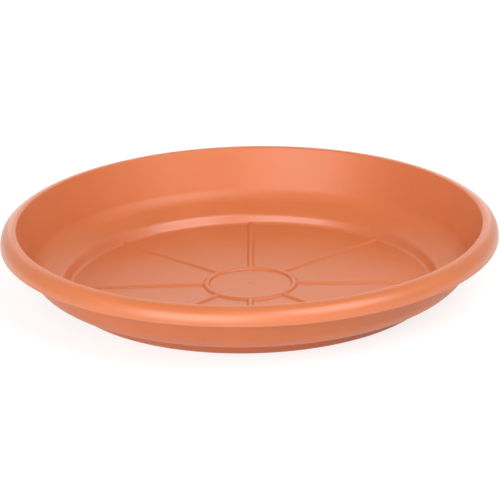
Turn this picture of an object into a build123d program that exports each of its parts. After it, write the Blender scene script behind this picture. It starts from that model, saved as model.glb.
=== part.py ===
from build123d import *
import math
import os

# Plant saucer: a round dish moulded in one piece, with a hollow rolled rim, a sloping wall,
# a soft shoulder, a stepped base and a floor that carries a centre ring and radial ribs.
# Lengths are in millimetres. +Z is up, and the origin is on the axis, level with the foot.

# Overall size and the thickness of the moulding
outer_diameter = 250.0
overall_height = 35.3
wall = 1.7

# Rim: it rolls over outwards from a crisp inner edge and hangs down as a short lip
rim_edge_bevel = 0.5
rim_land = 0.3
rim_roll_radius = 7.1
lip_skirt = 1.6
lip_bevel = 0.35

# Sloping wall, and the shoulder where it turns into the ledge
wall_lean = 9.8
shoulder_radius = 10.6
shoulder_flat_count = 3

# Ledge, and the riser that steps down from it to the floor
ledge_width = 13.3
ledge_rise = 4.95
riser_height = 4.85
riser_lean = 2.6
riser_top_bevel = 0.65
floor_edge_bevel = 0.7

# Floor: a flat centre, from which the floor falls gently to its edge, over a flat foot
floor_crown = 0.85
foot_width = 12.4
foot_corner_radius = 4.25
foot_flat_count = 3

# Ring on the floor, where the flat centre ends
ring_diameter = 44.0
ring_width = 2.6
ring_height = 1.05
ring_bevel = 0.4

# Ribs that run from the ring to the riser
rib_count = 8
rib_width = 2.4
rib_end_width = 2.9
rib_height = 0.95
rib_bevel = 0.25

# The sides of the ring and the ribs lean in, so that they leave the mould
draft_angle = 6.0

# Mark left at the centre of the floor, where the plastic was fed into the mould
gate_diameter = 3.0
gate_depth = 0.2

# Shares of the wall by which the ring and ribs are rooted in the floor, and the ribs in the riser
root_share = 0.25
seat_share = 0.5

# Heights and radii that follow from the sizes above
outer_radius = outer_diameter / 2
ring_radius = ring_diameter / 2
floor_top = wall + floor_crown
riser_top_height = wall + riser_height
shoulder_height = riser_top_height + ledge_rise
lip_bottom = overall_height - rim_roll_radius - lip_skirt
wall_slope = math.atan2(overall_height - shoulder_height, wall_lean)
rim_inner_radius = outer_radius - rim_roll_radius - rim_land - rim_edge_bevel
shoulder_inner_radius = rim_inner_radius - wall_lean
riser_top_inner_radius = shoulder_inner_radius - ledge_width
floor_radius = riser_top_inner_radius - riser_lean
root_depth = wall * root_share

# Corners of the surface that is seen from above, as distance from the axis and height
floor_middle = (0, floor_top)
crown_edge = (ring_radius, floor_top)
floor_edge = (floor_radius, wall)
riser_top = (riser_top_inner_radius, riser_top_height)
shoulder = (shoulder_inner_radius, shoulder_height)
rim_inside = (rim_inner_radius, overall_height)
rim_outside = (outer_radius, overall_height)
lip_outside = (outer_radius, lip_bottom)


def underside(before, corner, after):
    """The corner of the underside that lies one wall below a corner of the surface above it."""
    first = (Vector(*corner) - Vector(*before)).normalized()
    second = (Vector(*after) - Vector(*corner)).normalized()
    first_normal = Vector(first.Y, -first.X)
    second_normal = Vector(second.Y, -second.X)
    mitre = (first_normal + second_normal) / (1 + first_normal.dot(second_normal))
    below = Vector(*corner) + mitre * wall
    return (below.X, below.Y)


def bevelled(before, corner, after, bevel):
    """The two points that stand for a corner when its edge is bevelled back along both faces."""
    back = Vector(*corner) + (Vector(*before) - Vector(*corner)).normalized() * bevel
    ahead = Vector(*corner) + (Vector(*after) - Vector(*corner)).normalized() * bevel
    return [(back.X, back.Y), (ahead.X, ahead.Y)]


def rounded(before, corner, after, radius, flats):
    """The points of a rounding that is drawn in a few flats, with their ends on the true arc."""
    arriving = (Vector(*corner) - Vector(*before)).normalized()
    leaving = (Vector(*after) - Vector(*corner)).normalized()
    turn = arriving.get_signed_angle(leaving, Vector(0, 0, 1))
    start = Vector(*corner) - arriving * radius * math.tan(math.radians(abs(turn) / 2))
    points = []
    for step in range(flats + 1):
        half_swept = turn / 2 * step / flats
        chord = 2 * radius * math.sin(math.radians(abs(half_swept)))
        point = start + arriving.rotate(Axis.Z, half_swept) * chord
        points.append((point.X, point.Y))
    return points


def hollow_roll(root, crown):
    """The inside of the rolled rim in two flat facets, which keep the wall under the roll."""
    radius = min(rim_roll_radius - wall, crown[0] - root[0] - rim_land)
    middle = radius * (1 - math.sqrt(0.5))
    return [
        (crown[0], crown[1] - radius),
        (crown[0] - middle, crown[1] - middle),
        (crown[0] - radius, crown[1]),
    ]


def dish_section():
    """Half of the dish in section: the surface above from axis to lip, then the underside back."""
    foot = underside((0, wall), floor_edge, riser_top)
    riser_root = underside(floor_edge, riser_top, shoulder)
    turn = underside(riser_top, shoulder, rim_inside)
    rim_root = underside(shoulder, rim_inside, rim_outside)
    rim_crown = underside(rim_inside, rim_outside, lip_outside)
    lip_inside = (outer_radius - wall, lip_bottom)
    foot_inside = (foot[0] - foot_width, 0)
    points = [
        floor_middle,
        crown_edge,
        *bevelled(crown_edge, floor_edge, riser_top, floor_edge_bevel),
        *bevelled(floor_edge, riser_top, shoulder, riser_top_bevel),
        *rounded(riser_top, shoulder, rim_inside, shoulder_radius, shoulder_flat_count),
        *bevelled(shoulder, rim_inside, rim_outside, rim_edge_bevel),
        rim_outside,
        *bevelled(rim_outside, lip_outside, lip_inside, lip_bevel),
        *bevelled(lip_outside, lip_inside, rim_crown, lip_bevel),
        *hollow_roll(rim_root, rim_crown),
        rim_root,
        *rounded(rim_root, turn, riser_root, shoulder_radius + wall, shoulder_flat_count),
        riser_root,
        *rounded(riser_root, foot, foot_inside, foot_corner_radius, foot_flat_count),
        foot_inside,
        (ring_radius, floor_crown),
        (0, floor_crown),
    ]
    radii = [rim_roll_radius if point == rim_outside else 0 for point in points]
    return make_face(FilletPolyline(*points, radius=radii, close=True).edges())


def bead_section(width, height, bevel):
    """Section of a raised bead: a root below the floor, drafted sides and a bevelled top."""
    draft = math.tan(math.radians(draft_angle))
    half_root = width / 2 + root_depth * draft
    half_side = width / 2 - (height - bevel) * draft
    half_top = half_side - bevel
    return make_face(Polyline(
        (-half_root, -root_depth),
        (half_root, -root_depth),
        (half_side, height - bevel),
        (half_top, height),
        (-half_top, height),
        (-half_side, height - bevel),
        close=True,
    ).edges())


def make_dish():
    """The dish itself, turned from its section."""
    return revolve(Plane.XZ * dish_section(), axis=Axis.Z)


def make_ring():
    """The ring on the floor, turned from its section."""
    section = Pos(ring_radius, floor_top) * bead_section(ring_width, ring_height, ring_bevel)
    return revolve(Plane.XZ * section, axis=Axis.Z)


def make_rib():
    """One rib: it follows the fall of the floor from the ring and widens towards the riser."""
    floor_fall = floor_crown / (floor_radius - ring_radius)
    end_radius = floor_radius + wall * seat_share
    end_height = floor_top - floor_fall * (end_radius - ring_radius)
    start = Plane(origin=(ring_radius, 0, floor_top), x_dir=(0, 1, 0), z_dir=(1, 0, 0))
    end = Plane(origin=(end_radius, 0, end_height), x_dir=(0, 1, 0), z_dir=(1, 0, 0))
    start_section = start * bead_section(rib_width, rib_height, rib_bevel)
    end_section = end * bead_section(rib_end_width, rib_height, rib_bevel)
    return loft([start_section, end_section], ruled=True)


def make_saucer():
    """The whole moulding: dish, ring and ribs in one piece, with the mark at its centre."""
    ribs = PolarLocations(0, rib_count) * make_rib()
    mark = Pos(0, 0, floor_top) * Cylinder(gate_diameter / 2, 2 * gate_depth)
    saucer = make_dish() + [make_ring(), *ribs] - mark
    saucer.label = "saucer"
    return saucer


os.makedirs("parts", exist_ok=True)
saucer = make_saucer()
export_step(saucer, "parts/saucer.step")
print("saucer", len(saucer.solids()), "solid,", len(saucer.faces()), "faces, volume", round(saucer.volume))
print("reach", saucer.bounding_box().min, saucer.bounding_box().max)
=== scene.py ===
# %% [markdown]
# # A plant saucer in terracotta-coloured plastic
# The saucer is one injection moulding: a rolled hollow rim, a sloping wall, a shoulder, a ledge, a
# riser and a floor with a ring and eight ribs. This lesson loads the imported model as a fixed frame,
# models the moulding again with finer roundings than a solid model needs, and gives it the satin
# finish of polypropylene.

# %% Load the frame
import math
import bmesh
import bpy
from mathutils import Matrix, Vector


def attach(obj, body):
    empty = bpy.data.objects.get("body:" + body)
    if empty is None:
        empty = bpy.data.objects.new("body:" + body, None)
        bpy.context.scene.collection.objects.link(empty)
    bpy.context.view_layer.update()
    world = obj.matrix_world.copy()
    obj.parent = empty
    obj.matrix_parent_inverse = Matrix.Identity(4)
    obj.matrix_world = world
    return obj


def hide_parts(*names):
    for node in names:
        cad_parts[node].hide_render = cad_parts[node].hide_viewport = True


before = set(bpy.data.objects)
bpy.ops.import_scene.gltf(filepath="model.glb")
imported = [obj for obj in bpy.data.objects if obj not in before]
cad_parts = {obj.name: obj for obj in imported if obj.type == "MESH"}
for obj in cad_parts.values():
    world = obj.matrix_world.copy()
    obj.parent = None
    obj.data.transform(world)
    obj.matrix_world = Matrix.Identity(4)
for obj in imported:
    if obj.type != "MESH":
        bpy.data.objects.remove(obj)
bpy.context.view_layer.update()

# %% [markdown]
# The measures are written in millimetres, as they are on a drawing, and turned into metres when a
# mesh is made. A section of the moulding is a list of corners, each with its distance from the
# axis, its height and its rounding. The riser's roundings are generous, because its highlight is
# broad and soft.

# %% The measures of the saucer
MM = 0.001
outer_radius = 125.0
overall_height = 35.3
wall = 1.7
rim_edge_radius = 1.0
rim_roll_radius = 7.1
rim_inner_radius = 117.1
rim_root_radius = 0.3
lip_bottom = 26.6
lip_rounding = 0.5
shoulder = (107.3, 11.5)
shoulder_radius = 10.6
riser_top = (94.0, 6.55)
riser_top_radius = 3.6
riser_root_radius = 1.0
floor_edge = (91.4, wall)
floor_edge_radius = 2.4
floor_crown = 0.85
foot_width = 12.4
foot_corner_radius = 4.25
foot_inner_radius = 0.4
ring_radius = 22.0
floor_top = wall + floor_crown
print("saucer", 2 * outer_radius, "mm across and", overall_height, "mm high")

# %% [markdown]
# An edge of a moulding is never sharp, and its rounding is what catches the light. A Bevel modifier
# rounds every edge alike, but here each edge has its own radius, so one corner of a flat outline is
# bevelled at a time. The bevel starts at a distance from the corner, so the radius is turned into
# that distance, which depends on how far the outline turns there.


# %% Round the corners of a flat outline
DEGREES_PER_SEGMENT = 6
FEWEST_SEGMENTS = 3


def rounded_outline(bm, corners, place):
    """A flat face through the corners (across, up, rounding), in mm, with its corners rounded."""
    flat = [Vector((across, up)) for across, up, rounding in corners]
    points = [bm.verts.new(place(p.x * MM, p.y * MM)) for p in flat]
    bm.faces.new(points)
    for i, point in enumerate(points):
        rounding = corners[i][2]
        if rounding > 0:
            turn = (flat[i] - flat[i - 1]).angle(flat[(i + 1) % len(flat)] - flat[i])
            segments = max(FEWEST_SEGMENTS, round(math.degrees(turn) / DEGREES_PER_SEGMENT))
            bmesh.ops.bevel(
                bm, geom=[point], affect="VERTICES", offset=rounding * math.tan(turn / 2) * MM,
                offset_type="OFFSET", segments=segments, profile=0.5, material=-1,
                clamp_overlap=False,
            )


print("roundings in steps of about", DEGREES_PER_SEGMENT, "degrees")

# %% [markdown]
# The underside of a moulding lies one wall below its upper side. A Solidify modifier could give the
# wall, but it would copy the roundings of the upper side. Here each corner of the underside is the
# mitre of the two faces that meet there, so the wall is equally thick along the whole section, and
# every corner below has a rounding of its own.


# %% Find the corners of the underside
def one_wall_below(before, corner, after):
    """The corner one wall below a corner of the upper side, on the mitre of its two faces."""
    first = (Vector(corner) - Vector(before)).normalized()
    second = (Vector(after) - Vector(corner)).normalized()
    first_normal, second_normal = Vector((first.y, -first.x)), Vector((second.y, -second.x))
    mitre = (first_normal + second_normal) / (1 + first_normal.dot(second_normal))
    return Vector(corner) + mitre * wall


rim_inside, rim_outside = (rim_inner_radius, overall_height), (outer_radius, overall_height)
lip_outside = (outer_radius, lip_bottom)
foot = one_wall_below((0, wall), floor_edge, riser_top)
riser_root = one_wall_below(floor_edge, riser_top, shoulder)
turn_below = one_wall_below(riser_top, shoulder, rim_inside)
rim_root = one_wall_below(shoulder, rim_inside, rim_outside)
rim_crown = one_wall_below(rim_inside, rim_outside, lip_outside)
print("foot corner", foot, "rim root", rim_root)

# %% [markdown]
# The ring that marks the flat centre of the floor is moulded with the dish, so it belongs to the
# same section: a low bead with leaning sides, a rounded top and a small hollow rounding where it
# leaves the floor. Its outer side leans more, and the lean is what shows it, because each side
# catches its own share of the light. The small round mark at the centre is where the plastic was
# fed into the mould.

# %% The ring and the gate mark
ring_inside, ring_outside, ring_height = 20.35, 24.1, 1.05
ring_inner_lean, ring_outer_lean, ring_foot_radius, ring_top_radius = 0.7, 1.2, 0.3, 0.9
gate_radius, gate_depth, gate_rounding = 1.5, 0.2, 0.12


def floor_level(radius):
    """Height of the floor at a distance from the axis: flat in the middle, then falling."""
    share = max(0.0, (radius - ring_radius) / (floor_edge[0] - ring_radius))
    return floor_top - floor_crown * share


def ring_corners():
    """The bead of the ring, from its inner foot to its outer foot."""
    top = floor_top + ring_height
    return [
        (ring_inside, floor_top, ring_foot_radius),
        (ring_inside + ring_inner_lean, top, ring_top_radius),
        (ring_outside - ring_outer_lean, top, ring_top_radius),
        (ring_outside, floor_level(ring_outside), ring_foot_radius),
    ]


print("ring", round(ring_outside - ring_inside, 2), "mm wide and", ring_height, "mm high")

# %% The corners of the whole section
upper_corners = [
    (0, floor_top - gate_depth, 0), (gate_radius, floor_top - gate_depth, gate_rounding),
    (gate_radius, floor_top, gate_rounding), *ring_corners(),
    (*floor_edge, floor_edge_radius), (*riser_top, riser_top_radius), (*shoulder, shoulder_radius),
    (*rim_inside, rim_edge_radius), (*rim_outside, rim_roll_radius),
]
lower_corners = [
    (*lip_outside, lip_rounding), (outer_radius - wall, lip_bottom, lip_rounding),
    (*rim_crown, rim_roll_radius - wall), (*rim_root, rim_root_radius),
    (*turn_below, shoulder_radius + wall), (*riser_root, riser_root_radius),
    (*foot, foot_corner_radius), (foot.x - foot_width, 0, foot_inner_radius),
    (ring_radius, floor_crown, 0), (0, floor_crown, 0),
]
print(len(upper_corners) + len(lower_corners), "corners in the section")

# %% [markdown]
# A round moulding is turned like a pot on a wheel. The outline is spun once round the axis, the
# rows of points that meet are merged, and the points that fall on the axis become one pole above
# and one below. A Screw modifier could do the same, but the operator leaves a finished mesh that
# can be measured at once.


# %% Turn the section into the dish
TURN_STEPS = 256
POLE_MERGE = 1e-6


def turned_dish(bm):
    """The closed shell of the dish, spun from its section."""
    rounded_outline(bm, upper_corners + lower_corners, lambda across, up: (across, 0, up))
    on_axis = [e for e in bm.edges if all(abs(v.co.x) < POLE_MERGE for v in e.verts)]
    bmesh.ops.delete(bm, geom=bm.faces[:], context="FACES_ONLY")
    bmesh.ops.delete(bm, geom=on_axis, context="EDGES")
    bmesh.ops.spin(
        bm, geom=bm.verts[:] + bm.edges[:], cent=(0, 0, 0), axis=(0, 0, 1), angle=2 * math.pi,
        steps=TURN_STEPS, use_merge=True,
    )
    bmesh.ops.remove_doubles(bm, verts=bm.verts[:], dist=POLE_MERGE)


def open_edges(bm):
    """How many edges don't have a face on each side."""
    return sum(len(e.link_faces) != 2 for e in bm.edges)


dish = bmesh.new()
turned_dish(dish)
print("dish:", len(dish.faces), "faces,", open_edges(dish), "open edges")

# %% [markdown]
# Eight ribs run from the ring to the riser. Each one is an outline with rounded shoulders and
# hollow feet, drawn out along the fall of the floor and a little wider at its far end. A boolean
# would cut them into the even rows of the floor, so each rib stays a closed form instead. Its roots
# lie just under the floor and inside the riser, and the moulding shows no gap.

# %% The section of a rib
rib_width, rib_end_width, rib_height, rib_lean = 3.4, 3.9, 1.0, 1.0
rib_foot_radius, rib_top_radius = 0.4, 0.9
rib_root, rib_skirt = 0.8, 0.02


def rib_corners(width):
    """Section of a rib: across, up and rounding, with the floor at height 0."""
    side, foot_side = width / 2 - rib_lean, width / 2
    skirt = foot_side + 2 * rib_foot_radius
    half = [
        (skirt, -rib_root, 0), (skirt, -rib_skirt, 0), (foot_side, -rib_skirt, rib_foot_radius),
        (side, rib_height, rib_top_radius),
    ]
    return half + [(-across, up, rounding) for across, up, rounding in reversed(half)]


print("a rib has", len(rib_corners(rib_width)), "corners in its section")

# %% Draw out one rib and repeat it round the floor
rib_count = 8
rib_start, rib_end = ring_radius, floor_edge[0] + wall / 2


def drawn_rib(bm):
    """One rib along +X, drawn out from the ring to the riser."""
    rounded_outline(
        bm, rib_corners(rib_width), lambda across, up: (rib_start * MM, across, up + floor_top * MM)
    )
    drawn = bmesh.ops.extrude_face_region(bm, geom=bm.faces[:])["geom"]
    far = [g for g in drawn if isinstance(g, bmesh.types.BMVert)]
    fall = (floor_level(rib_end) - floor_top) * MM
    bmesh.ops.scale(bm, vec=(1, rib_end_width / rib_width, 1), verts=far)
    bmesh.ops.translate(bm, vec=((rib_end - rib_start) * MM, 0, fall), verts=far)


ribs = bmesh.new()
drawn_rib(ribs)
bmesh.ops.recalc_face_normals(ribs, faces=ribs.faces[:])
bmesh.ops.spin(
    ribs, geom=ribs.verts[:] + ribs.edges[:] + ribs.faces[:], cent=(0, 0, 0), axis=(0, 0, 1),
    angle=2 * math.pi * (rib_count - 1) / rib_count, steps=rib_count - 1, use_duplicate=True,
)
print("ribs:", len(ribs.faces), "faces,", open_edges(ribs), "open edges")

# %% [markdown]
# The dish and the ribs are one piece of plastic, so they are one mesh. Its object stays at the
# origin, rides on the body of the frame and takes the place of the solid `saucer`, which is hidden.
# Its normals are weighted by the area of the faces, so that the broad faces stay even and the
# narrow roundings carry the whole turn.


# %% Make one object of several meshes
SHARP_ANGLE = 40


def finished_object(name, meshes):
    """An object made of several bmeshes, smooth and with its faces turned outwards."""
    joined = bmesh.new()
    for piece in meshes:
        part = bpy.data.meshes.new("part")
        bmesh.ops.recalc_face_normals(piece, faces=piece.faces[:])
        piece.to_mesh(part)
        joined.from_mesh(part)
        bpy.data.meshes.remove(part)
        piece.free()
    for face in joined.faces:
        face.smooth = True
    mesh = bpy.data.meshes.new(name)
    joined.to_mesh(mesh)
    joined.free()
    mesh.set_sharp_from_angle(angle=math.radians(SHARP_ANGLE))
    made = bpy.data.objects.new(name, mesh)
    bpy.context.scene.collection.objects.link(made)
    return made


print("edges sharper than", SHARP_ANGLE, "degrees stay sharp")

# %% Join the moulding
BROAD_FACE_WEIGHT = 90
moulding = finished_object("saucer_moulding", [dish, ribs])
even_normals = moulding.modifiers.new("even_normals", "WEIGHTED_NORMAL")
even_normals.mode = "FACE_AREA"
even_normals.weight = BROAD_FACE_WEIGHT
even_normals.keep_sharp = True
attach(moulding, "root")
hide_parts("saucer")
print("moulding:", len(moulding.data.polygons), "faces")

# %% [markdown]
# Three effects shape the look of moulded polypropylene: the fine grain that the mould leaves, the
# slow drift of colour along the way the plastic flowed, and the polish of some bands. Each is a
# shader group with named inputs, so it can be placed in any material with values of its own. Images
# could show them too, but nodes on the object's own coordinates have no seams and no pixels.


# %% Helpers for shader trees
def new_group(name, inputs, outputs):
    """An empty shader group: inputs are (name, value), and outputs are the names of numbers."""
    group = bpy.data.node_groups.new(name, "ShaderNodeTree")
    for socket_name, value in inputs:
        kind = "NodeSocketVector" if isinstance(value, tuple) else "NodeSocketFloat"
        socket = group.interface.new_socket(socket_name, in_out="INPUT", socket_type=kind)
        socket.default_value = value
    for socket_name in outputs:
        group.interface.new_socket(socket_name, in_out="OUTPUT", socket_type="NodeSocketFloat")
    return group, group.nodes.new("NodeGroupInput"), group.nodes.new("NodeGroupOutput")


def node(tree, kind, values=None, **settings):
    """A node of a kind, with its settings and the values of its sockets."""
    made = tree.nodes.new(kind)
    for key, value in settings.items():
        setattr(made, key, value)
    for key, value in (values or {}).items():
        made.inputs[key].default_value = value
    return made


def wire(tree, *runs):
    """Links between nodes, each given as (from node, its output, to node, its input)."""
    for start, output, end, given in runs:
        tree.links.new(start.outputs[output], end.inputs[given])


def cleared_tree(owner):
    """The node tree of a new material or world, with nothing in it."""
    owner.use_nodes = True
    owner.node_tree.nodes.clear()
    return owner.node_tree


at_origin = (0.0, 0.0, 0.0)
print("shader helpers are ready")

# %% [markdown]
# The grain is what keeps the plastic from looking like glass. A fine noise breaks up the
# highlights, and a slower one stands for the unevenness of the cooled surface. Together they feed a
# bump, because they are less than a tenth of a millimetre deep, which would be wasted on a mesh.
# The fine noise is put out once more by itself, for specks of colour.

# %% The grain group
FINE_SHARE = 0.015


def grain_group():
    """Height of the moulded grain: a fine noise with a slower unevenness under it."""
    tree, given, out = new_group(
        "moulded_grain", [("Position", at_origin), ("Grain", 1600.0), ("Unevenness", 45.0)],
        ["Height", "Mottle"],
    )
    fine = node(tree, "ShaderNodeTexNoise", {"Detail": 3.0, "Roughness": 0.6})
    slow = node(tree, "ShaderNodeTexNoise", {"Detail": 2.0, "Roughness": 0.5})
    fine_part = node(tree, "ShaderNodeMath", {1: FINE_SHARE}, operation="MULTIPLY")
    total = node(tree, "ShaderNodeMath", operation="ADD")
    wire(
        tree,
        (given, "Position", fine, "Vector"),
        (given, "Grain", fine, "Scale"),
        (given, "Position", slow, "Vector"),
        (given, "Unevenness", slow, "Scale"),
        (fine, "Fac", fine_part, 0),
        (fine_part, 0, total, 0),
        (slow, "Fac", total, 1),
        (total, 0, out, "Height"),
        (fine, "Fac", out, "Mottle"),
    )
    return tree


grain = grain_group()
print("group", grain.name, "with", len(grain.nodes), "nodes")

# %% [markdown]
# The plastic enters at the centre and flows outwards, so its colour changes little along a radius
# and drifts from one radius to the next. A plain noise would make blots, so the noise is read at a
# place made of the direction from the centre and, at a scale of its own, the distance from it.


# %% The flow group
def flow_group():
    """Drift of colour along the flow: noise that is long away from the axis and short around it."""
    tree, given, out = new_group(
        "moulding_flow", [("Position", at_origin), ("Around", 2.2), ("Along", 9.0)], ["Drift"],
    )
    length = node(tree, "ShaderNodeVectorMath", operation="LENGTH")
    unit = node(tree, "ShaderNodeVectorMath", operation="NORMALIZE")
    around = node(tree, "ShaderNodeVectorMath", operation="SCALE")
    along = node(tree, "ShaderNodeMath", operation="MULTIPLY")
    place = node(tree, "ShaderNodeCombineXYZ")
    direction = node(tree, "ShaderNodeSeparateXYZ")
    noise = node(tree, "ShaderNodeTexNoise", {"Scale": 1.0, "Detail": 3.0, "Roughness": 0.55})
    wire(
        tree,
        (given, "Position", length, 0),
        (given, "Position", unit, 0),
        (unit, "Vector", around, 0),
        (given, "Around", around, "Scale"),
        (around, "Vector", direction, 0),
        (length, "Value", along, 0),
        (given, "Along", along, 1),
        (direction, "X", place, "X"),
        (direction, "Y", place, "Y"),
        (along, 0, place, "Z"),
        (place, "Vector", noise, "Vector"),
        (noise, "Fac", out, "Drift"),
    )
    return tree


flow = flow_group()
print("group", flow.name, "with", len(flow.nodes), "nodes")

# %% [markdown]
# The riser of the step and the outside of the rim shine more than the rest, as bands do that slide
# along the mould when the saucer leaves it. The mask measures how far a point lies behind the slope
# of the riser, or how far out it lies on the rim, and it feeds the weight of a thin coat.

# %% Where the polish starts and ends
riser_polish_starts, riser_polish_full = -1.2, -0.2
riser_polish_fades, riser_polish_ends = 0.3, 1.4
rim_polish_starts, rim_polish_full = rim_inner_radius + 1.0, rim_inner_radius + 4.0


def soft_step(tree, start, end, before=0.0, after=1.0):
    """A mask that changes softly from one value to another between two distances in mm."""
    return node(tree, "ShaderNodeMapRange", {
        "From Min": start * MM, "From Max": end * MM, "To Min": before, "To Max": after,
    }, interpolation_type="SMOOTHSTEP")


print("the rim's polish is full", rim_polish_full, "mm from the axis")


# %% The polish group
def polish_group():
    """Mask of the two polished bands: the riser of the step, and the outside of the rolled rim."""
    tree, given, out = new_group(
        "edge_polish", [("Position", at_origin), ("Riser", 0.9), ("Rim", 0.4)], ["Polish"],
    )
    riser_slope = (riser_top[0] - floor_edge[0]) / (riser_top[1] - floor_edge[1])
    foot_line = (floor_edge[0] - riser_slope * floor_edge[1]) * MM
    level = node(tree, "ShaderNodeVectorMath", {1: (1, 1, 0)}, operation="MULTIPLY")
    radius = node(tree, "ShaderNodeVectorMath", operation="LENGTH")
    upright = node(tree, "ShaderNodeSeparateXYZ")
    leaning = node(
        tree, "ShaderNodeMath", {1: -riser_slope, 2: -foot_line}, operation="MULTIPLY_ADD"
    )
    behind_face = node(tree, "ShaderNodeMath", operation="ADD")
    begin = soft_step(tree, riser_polish_starts, riser_polish_full)
    end = soft_step(tree, riser_polish_fades, riser_polish_ends, before=1.0, after=0.0)
    on_rim = soft_step(tree, rim_polish_starts, rim_polish_full)
    band = node(tree, "ShaderNodeMath", operation="MULTIPLY")
    riser_share = node(tree, "ShaderNodeMath", operation="MULTIPLY")
    rim_share = node(tree, "ShaderNodeMath", operation="MULTIPLY")
    both = node(tree, "ShaderNodeMath", operation="MAXIMUM")
    wire(
        tree,
        (given, "Position", level, 0),
        (given, "Position", upright, 0),
        (level, "Vector", radius, 0),
        (upright, "Z", leaning, 0),
        (radius, "Value", behind_face, 0),
        (leaning, 0, behind_face, 1),
        (behind_face, 0, begin, "Value"),
        (behind_face, 0, end, "Value"),
        (radius, "Value", on_rim, "Value"),
        (begin, "Result", band, 0),
        (end, "Result", band, 1),
        (band, 0, riser_share, 0),
        (given, "Riser", riser_share, 1),
        (on_rim, "Result", rim_share, 0),
        (given, "Rim", rim_share, 1),
        (riser_share, 0, both, 0),
        (rim_share, 0, both, 1),
        (both, 0, out, "Polish"),
    )
    return tree


polish = polish_group()
print("group", polish.name, "with", len(polish.nodes), "nodes")

# %% [markdown]
# Terracotta-coloured polypropylene is a satin plastic: its colour comes from the pigment, with a
# soft, white reflection over it that grows at a glancing angle. A mix of a matt and a glossy shader
# could give that, but the Principled shader does it at once, and takes the coat of the polished
# bands on top. The flow moves the colour by a few percent and the roughness with it, and the grain
# breaks up the highlights.

# %% The values of the plastic
noise_low, noise_high = 0.3, 0.7
darker_pigment, paler_pigment = (0.616, 0.161, 0.051, 1), (0.660, 0.180, 0.059, 1)
speck_low, speck_high = 0.97, 1.03
roughness_low, roughness_high = 0.38, 0.46
grain_depth = 0.08


def from_noise(tree, low, high):
    """A value between low and high that follows a noise."""
    return node(tree, "ShaderNodeMapRange", {
        "From Min": noise_low, "From Max": noise_high, "To Min": low, "To Max": high,
    })


print("roughness from", roughness_low, "to", roughness_high)


# %% The terracotta plastic
def placed_group(tree, group, values):
    """A shader group in a material, with the values of this material."""
    placed = node(tree, "ShaderNodeGroup", node_tree=group)
    for key, value in values.items():
        placed.inputs[key].default_value = value
    return placed


def terracotta_plastic():
    """The finish of the whole moulding."""
    finish = bpy.data.materials.new("satin_terracotta")
    tree = cleared_tree(finish)
    where = node(tree, "ShaderNodeTexCoord")
    grained = placed_group(tree, grain, {"Grain": 1600.0, "Unevenness": 45.0})
    flowing = placed_group(tree, flow, {"Around": 2.2, "Along": 9.0})
    polished = placed_group(tree, polish, {"Riser": 0.8, "Rim": 0.55})
    tint = node(tree, "ShaderNodeValToRGB")
    darker, paler = tint.color_ramp.elements
    darker.position, darker.color = noise_low, darker_pigment
    paler.position, paler.color = noise_high, paler_pigment
    speck = from_noise(tree, speck_low, speck_high)
    toned = node(tree, "ShaderNodeVectorMath", operation="SCALE")
    satin = from_noise(tree, roughness_low, roughness_high)
    bump = node(tree, "ShaderNodeBump", {"Strength": 0.5, "Distance": grain_depth * MM})
    shader = node(tree, "ShaderNodeBsdfPrincipled", {
        "IOR": 1.49, "Specular IOR Level": 0.575, "Coat Roughness": 0.27,
    })
    output = node(tree, "ShaderNodeOutputMaterial")
    wire(
        tree,
        (where, "Object", grained, "Position"),
        (where, "Object", flowing, "Position"),
        (where, "Object", polished, "Position"),
        (flowing, "Drift", tint, "Fac"),
        (grained, "Mottle", speck, "Value"),
        (tint, "Color", toned, 0),
        (speck, "Result", toned, "Scale"),
        (toned, "Vector", shader, "Base Color"),
        (flowing, "Drift", satin, "Value"),
        (satin, "Result", shader, "Roughness"),
        (grained, "Height", bump, "Height"),
        (bump, "Normal", shader, "Normal"),
        (polished, "Polish", shader, "Coat Weight"),
        (shader, "BSDF", output, "Surface"),
    )
    return finish


plastic = terracotta_plastic()
moulding.data.materials.append(plastic)
print("finish", plastic.name, "with", len(plastic.node_tree.nodes), "nodes")

# %% [markdown]
# The saucer stands on a plain white table. For the camera and for reflections the table is almost
# white by itself, and the lamps only add the last part, so the saucer's shadow stays on it as a
# soft grey. More light would whiten the table too, but it would wash out the saucer. From below the
# table is clear, so that the underside can be looked at.

# %% The finish of the table
white = (1, 1, 1, 1)
board_colour = (0.8, 0.8, 0.8, 1)
lit_part_colour, own_white = (0.3, 0.3, 0.3, 1), 0.8


def table_finish():
    """White to the camera and in reflections, with the shadow kept, and white board otherwise."""
    finish = bpy.data.materials.new("table_white")
    tree = cleared_tree(finish)
    rays = node(tree, "ShaderNodeLightPath")
    seen = node(tree, "ShaderNodeMath", operation="MAXIMUM")
    seen_or_clear = node(tree, "ShaderNodeMath", operation="MAXIMUM")
    board = node(tree, "ShaderNodeBsdfDiffuse", {"Color": board_colour})
    lit_part = node(tree, "ShaderNodeBsdfDiffuse", {"Color": lit_part_colour})
    glow = node(tree, "ShaderNodeEmission", {"Color": white, "Strength": own_white})
    almost_white = node(tree, "ShaderNodeAddShader")
    chosen = node(tree, "ShaderNodeMixShader")
    side = node(tree, "ShaderNodeNewGeometry")
    below = node(tree, "ShaderNodeBsdfTransparent")
    both = node(tree, "ShaderNodeMixShader")
    output = node(tree, "ShaderNodeOutputMaterial")
    wire(
        tree,
        (rays, "Is Camera Ray", seen, 0),
        (rays, "Is Glossy Ray", seen, 1),
        (seen, 0, seen_or_clear, 0),
        (rays, "Is Transmission Ray", seen_or_clear, 1),
        (lit_part, "BSDF", almost_white, 0),
        (glow, "Emission", almost_white, 1),
        (seen_or_clear, 0, chosen, "Fac"),
        (board, "BSDF", chosen, 1),
        (almost_white, "Shader", chosen, 2),
        (side, "Backfacing", both, "Fac"),
        (chosen, "Shader", both, 1),
        (below, "BSDF", both, 2),
        (both, "Shader", output, "Surface"),
    )
    return finish


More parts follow.
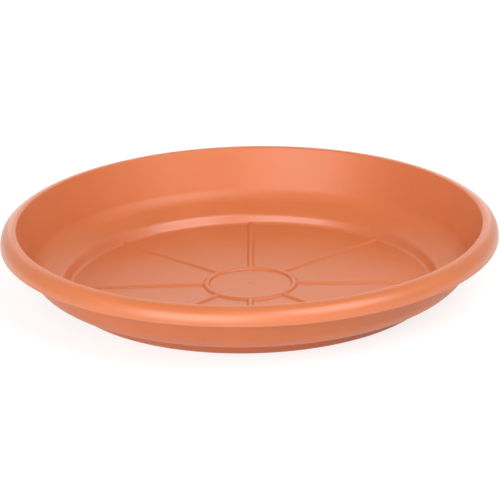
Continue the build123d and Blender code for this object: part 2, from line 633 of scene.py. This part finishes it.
table_white = table_finish()
print("finish", table_white.name, "with", len(table_white.node_tree.nodes), "nodes")

# %% The table
TABLE_REACH = 6.0
table = bmesh.new()
bmesh.ops.create_grid(table, x_segments=1, y_segments=1, size=TABLE_REACH)
table_top = finished_object("table_top", [table])
table_top.data.materials.append(table_white)
print("table", 2 * TABLE_REACH, "m across")

# %% [markdown]
# The lamps are those of a small studio: a large soft one low at the left of the camera, a smaller
# one high at its right, and a weak one behind the saucer, which makes the floor shine softly. Their
# size sets how broad a highlight is, and their place sets where on the riser and the rim it lies.


# %% The lamps
def soft_lamp(name, turn, rise, away, size, power):
    """A square soft lamp that faces the saucer: turn and rise in degrees, seen from the saucer."""
    lamp = bpy.data.lights.new(name, "AREA")
    lamp.shape, lamp.size, lamp.energy = "SQUARE", size, power
    made = bpy.data.objects.new(name, lamp)
    t, r = math.radians(turn), math.radians(rise)
    made.location = away * Vector(
        (math.sin(t) * math.cos(r), -math.cos(t) * math.cos(r), math.sin(r))
    )
    made.rotation_euler = made.location.to_track_quat("Z", "Y").to_euler()
    bpy.context.scene.collection.objects.link(made)


soft_lamp("lamp_front", turn=-26, rise=22, away=2.2, size=2.0, power=44.6)
soft_lamp("lamp_right", turn=47, rise=50, away=2.2, size=1.6, power=31.0)
soft_lamp("lamp_behind", turn=180, rise=20, away=2.2, size=1.6, power=7.9)

# %% [markdown]
# The room looks white to the camera, and its backdrop gives only a low light from behind to the
# surfaces themselves. In reflections it is white in front and behind, up to some height, and darker
# at its sides and towards the ceiling, as a real studio is, so that the level faces keep their deep
# colour.

# %% The room
backdrop_light = 0.71
white_up_to, dark_from = 0.2, 0.9
side_white = 0.3


def pale_room():
    """White to the camera, white at two sides in reflections, and a low light from behind."""
    room = bpy.data.worlds.new("pale_room")
    bpy.context.scene.world = room
    tree = cleared_tree(room)
    rays = node(tree, "ShaderNodeLightPath")
    direction = node(tree, "ShaderNodeTexCoord")
    split = node(tree, "ShaderNodeSeparateXYZ")
    fading = node(tree, "ShaderNodeMapRange", {
        "From Min": white_up_to, "From Max": dark_from, "To Min": 1.0, "To Max": 0.0,
    })
    sideways = node(tree, "ShaderNodeMath", operation="MULTIPLY")
    ends = node(tree, "ShaderNodeMapRange", {
        "From Min": 0.0, "From Max": 1.0, "To Min": 1.0, "To Max": side_white,
    })
    reflected = node(tree, "ShaderNodeMath", operation="MULTIPLY")
    rising = node(tree, "ShaderNodeMapRange", {
        "From Min": -1.0, "From Max": 1.0, "To Min": 0.0, "To Max": backdrop_light,
    })
    low = node(tree, "ShaderNodeBackground", {"Color": white})
    mirrored = node(tree, "ShaderNodeBackground", {"Color": white})
    plain = node(tree, "ShaderNodeBackground", {"Color": white, "Strength": 1.0})
    seen = node(tree, "ShaderNodeMath", operation="MAXIMUM")
    lit_or_mirrored = node(tree, "ShaderNodeMixShader")
    chosen = node(tree, "ShaderNodeMixShader")
    output = node(tree, "ShaderNodeOutputWorld")
    wire(
        tree,
        (direction, "Generated", split, 0),
        (split, "Z", fading, "Value"),
        (split, "X", sideways, 0),
        (split, "X", sideways, 1),
        (sideways, 0, ends, "Value"),
        (fading, "Result", reflected, 0),
        (ends, "Result", reflected, 1),
        (reflected, 0, mirrored, "Strength"),
        (split, "Y", rising, "Value"),
        (rising, "Result", low, "Strength"),
        (rays, "Is Glossy Ray", lit_or_mirrored, "Fac"),
        (low, "Background", lit_or_mirrored, 1),
        (mirrored, "Background", lit_or_mirrored, 2),
        (rays, "Is Camera Ray", seen, 0),
        (rays, "Is Transmission Ray", seen, 1),
        (seen, 0, chosen, "Fac"),
        (lit_or_mirrored, "Shader", chosen, 1),
        (plain, "Background", chosen, 2),
        (chosen, "Shader", output, "Surface"),
    )
    return room


bpy.context.scene.view_settings.view_transform = "Standard"
print("room", pale_room().name)

# %% [markdown]
# The photograph was taken from some way off with a long lens, about twenty degrees above the table,
# and the camera was rolled by about a degree. A constraint could aim the camera, but the place of
# the saucer's origin in the picture is known, just below the middle. So its pixel is turned into a
# small swing of the camera, and no lens shift is needed.

# %% The camera
FRAME_PIXELS = 500
SENSOR_WIDTH = 36.0
NEAREST_SEEN, FARTHEST_SEEN = 0.1, 50
focal_pixels = 4963.83
camera_away = 20 * outer_radius * MM
camera_rise, camera_turn, camera_roll = 0.35666, 0.010, -0.0222
origin_pixel = Vector((250.596, 288.504))


def photo_camera():
    """A camera at the photograph's place, with the origin on its pixel."""
    lens = bpy.data.cameras.new("photo_camera")
    lens.sensor_width = SENSOR_WIDTH
    lens.lens = focal_pixels / FRAME_PIXELS * SENSOR_WIDTH
    lens.clip_start, lens.clip_end = NEAREST_SEEN, FARTHEST_SEEN
    made = bpy.data.objects.new("photo_camera", lens)
    bpy.context.scene.collection.objects.link(made)
    place = Vector((
        math.cos(camera_rise) * math.sin(camera_turn),
        -math.cos(camera_rise) * math.cos(camera_turn),
        math.sin(camera_rise),
    )) * camera_away
    ahead = -place.normalized()
    right = ahead.cross(Vector((0, 0, 1))).normalized()
    looking = Matrix((right, ahead.cross(right), ahead))
    roll = Matrix.Rotation(camera_roll, 3, "Z")
    frame_middle = Vector((FRAME_PIXELS / 2, FRAME_PIXELS / 2))
    off_centre = (origin_pixel - frame_middle) / focal_pixels
    towards_origin = Vector((off_centre.x, off_centre.y, 1))
    swing = Vector((0, 0, 1)).rotation_difference(towards_origin).to_matrix()
    axes = swing @ roll @ looking
    turned = Matrix((axes[0], -axes[1], -axes[2])).transposed()
    made.matrix_world = Matrix.Translation(place) @ turned.to_4x4()
    bpy.context.scene.camera = made
    return made


camera = photo_camera()
print("camera lens", round(camera.data.lens, 1), "mm at", [round(v, 3) for v in camera.location])
